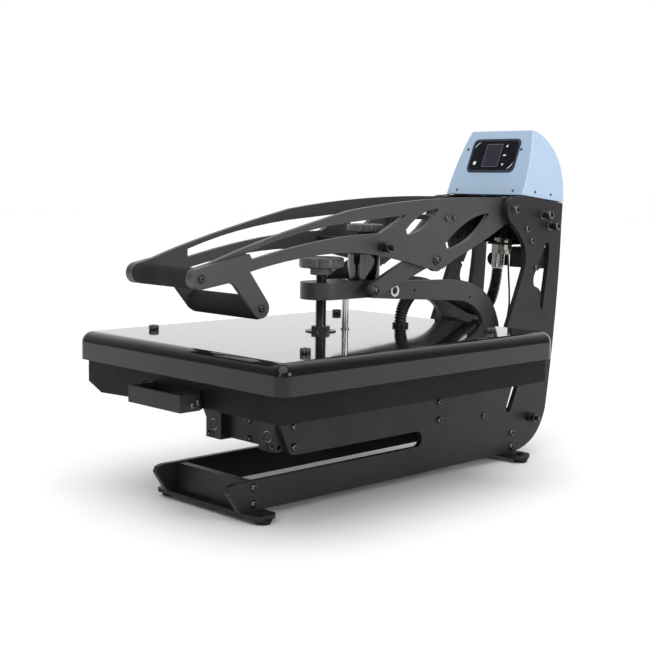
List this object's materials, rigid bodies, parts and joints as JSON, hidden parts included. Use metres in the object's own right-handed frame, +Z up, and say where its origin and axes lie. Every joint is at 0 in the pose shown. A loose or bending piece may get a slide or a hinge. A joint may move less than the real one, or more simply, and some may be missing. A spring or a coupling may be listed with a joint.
{
  "type": "flatbed heat press",
  "caption": "Clamshell heat press: a drawer-mounted lower platen on guide rods, a heated cover on a pivoting yoke, a toggle-linked twin-arm handle and a control console.",
  "frame": {"origin": "middle of the footprint at the level of the feet's undersides", "axes": "+X to the operator's right, -Y towards the operator, +Z up"},
  "size_m": [0.428, 0.7648, 0.5245],
  "materials": {
    "plate_black": "fine black powder coat",
    "arm_black": "fine black powder coat",
    "cover_gloss": "glossy black enamel",
    "tray_black": "satin black paint",
    "hood_blue": "pale blue powder coat",
    "panel_black": "printed membrane",
    "screen": "dark display window",
    "button": "moulded key",
    "red_plastic": "rocker",
    "black_plastic": "moulded",
    "rubber": "moulded rubber",
    "screw_black": "black oxide",
    "steel": "ground steel",
    "nickel": "nickel plate",
    "nylon": "white nylon",
    "aluminium": "machined",
    "pad": "silicone sponge",
    "fibre": "insulating blanket",
    "copper_steel": "sheathed element",
    "cord_black": "cable sheath"
  },
  "bodies": {
    "base": {"side_plate_r": "plate_black", "side_plate_l": "plate_black", "foot_plates": "plate_black", "feet": "rubber", "cross_bars": "plate_black", "shaft_blocks": "plate_black", "guide_rods": "steel", "tie_plates": "plate_black", "base_screws": "screw_black", "shafts": "steel", "rear_panel": "plate_black", "console_hood": "hood_blue", "console_overlay": "panel_black", "display": "screen", "pegs": "screw_black", "inlet_box": "black_plastic", "bumper": "rubber", "rear_glands": "nickel", "conduit": "cord_black", "sensor_cable": "cord_black"},
    "drawer": {"tray": "tray_black", "lower_platen": "tray_black", "silicone_pad": "pad", "drawer_handle": "tray_black", "handle_screws": "screw_black", "bearing_blocks": "aluminium", "carriage": "tray_black"},
    "yoke": {"yoke_bars": "arm_black", "hub": "arm_black", "magnet": "arm_black", "yoke_pins": "steel", "yoke_washers": "nylon"},
    "head": {"cover": "cover_gloss", "heater_plate": "aluminium", "heating_element": "copper_steel", "insulation": "fibre", "cover_screws": "screw_black", "flange_nut": "screw_black", "guide_pin": "steel", "gland_cover": "black_plastic"},
    "pressure_screw": {"spindle": "nickel", "pressure_knob": "black_plastic"},
    "arms": {"arm_r": "arm_black", "arm_l": "arm_black", "arm_tie": "arm_black", "keeper_bar": "arm_black", "cross_rod": "steel", "handle_brackets": "arm_black", "grips": "black_plastic"},
    "keeper": {"keeper": "nickel"},
    "magnet_knob": {"magnet_knob": "black_plastic"},
    "links": {"links": "arm_black", "link_pins": "steel"},
    "gas_cylinders": {"gas_cylinders": "arm_black"},
    "gas_rods": {"gas_rods": "steel"},
    "button_up": {"button_up": "button"},
    "button_down": {"button_down": "button"},
    "button_set": {"button_set": "button"},
    "button_mode": {"button_mode": "button"},
    "power_switch": {"power_switch": "red_plastic"}
  },
  "joints": [
    {"name": "arms_lift", "type": "hinge", "parent": "base", "child": "arms", "pos_m": [0, 0.2515, 0.3985], "axis": [-1, 0, 0], "range_deg": [0, 80]},
    {"name": "yoke_lift", "type": "hinge", "parent": "base", "child": "yoke", "pos_m": [0, 0.2615, 0.18], "axis": [-1, 0, 0], "range_deg": [0, 36.02], "deforming": ["conduit"]},
    {"name": "link_turn", "type": "hinge", "parent": "arms", "child": "links", "pos_m": [0, 0.0865, 0.3245], "axis": [1, 0, 0], "range_deg": [0, 119.95]},
    {"name": "gas_swing", "type": "hinge", "parent": "base", "child": "gas_cylinders", "pos_m": [0, 0.3025, 0.065], "axis": [-1, 0, 0], "range_deg": [0, 11.03]},
    {"name": "gas_stroke", "type": "slide", "parent": "gas_cylinders", "child": "gas_rods", "axis": [0, -0.6807, 0.7326], "range_m": [0, 0.0237]},
    {"name": "head_height", "type": "slide", "parent": "yoke", "child": "head", "axis": [0, 0, 1], "range_m": [0, 0.006]},
    {"name": "spindle_turn", "type": "hinge", "parent": "head", "child": "pressure_screw", "pos_m": [0, -0.0895, 0.3], "axis": [0, 0, 1], "range_deg": [0, 1080]},
    {"name": "drawer_slide", "type": "slide", "parent": "base", "child": "drawer", "axis": [0, -1, 0], "range_m": [0, 0.2]},
    {"name": "keeper_height", "type": "slide", "parent": "arms", "child": "keeper", "axis": [0, 0, 1], "range_m": [0, 0.003]},
    {"name": "magnet_knob_turn", "type": "hinge", "parent": "keeper", "child": "magnet_knob", "pos_m": [0, -0.0025, 0.37], "axis": [0, 0, 1], "range_deg": [0, 720]},
    {"name": "power_rocker", "type": "hinge", "parent": "base", "child": "power_switch", "pos_m": [0.024, 0.3635, 0.3195], "axis": [1, 0, 0], "range_deg": [-10, 0]},
    {"name": "button_up_press", "type": "slide", "parent": "base", "child": "button_up", "axis": [0, 0.9201, -0.3917], "range_m": [0, 0.001], "stiffness_N_per_m": 1500, "springref_m": -0.0003},
    {"name": "button_down_press", "type": "slide", "parent": "base", "child": "button_down", "axis": [0, 0.9201, -0.3917], "range_m": [0, 0.001], "stiffness_N_per_m": 1500, "springref_m": -0.0003},
    {"name": "button_set_press", "type": "slide", "parent": "base", "child": "button_set", "axis": [0, 0.9201, -0.3917], "range_m": [0, 0.001], "stiffness_N_per_m": 1500, "springref_m": -0.0003},
    {"name": "button_mode_press", "type": "slide", "parent": "base", "child": "button_mode", "axis": [0, 0.9201, -0.3917], "range_m": [0, 0.001], "stiffness_N_per_m": 1500, "springref_m": -0.0003}
  ],
  "couplings": [
    {"joint": "yoke_lift", "follows": "arms_lift", "ratio": 0.4502},
    {"joint": "link_turn", "follows": "arms_lift", "ratio": 1.4992},
    {"joint": "gas_swing", "follows": "arms_lift", "ratio": 0.13775},
    {"joint": "gas_stroke", "follows": "arms_lift", "m_per_rad": 0.016909},
    {"joint": "spindle_turn", "follows": "head_height", "rad_per_m": 3141.6},
    {"joint": "magnet_knob_turn", "follows": "keeper_height", "rad_per_m": 4188.8}
  ]
}
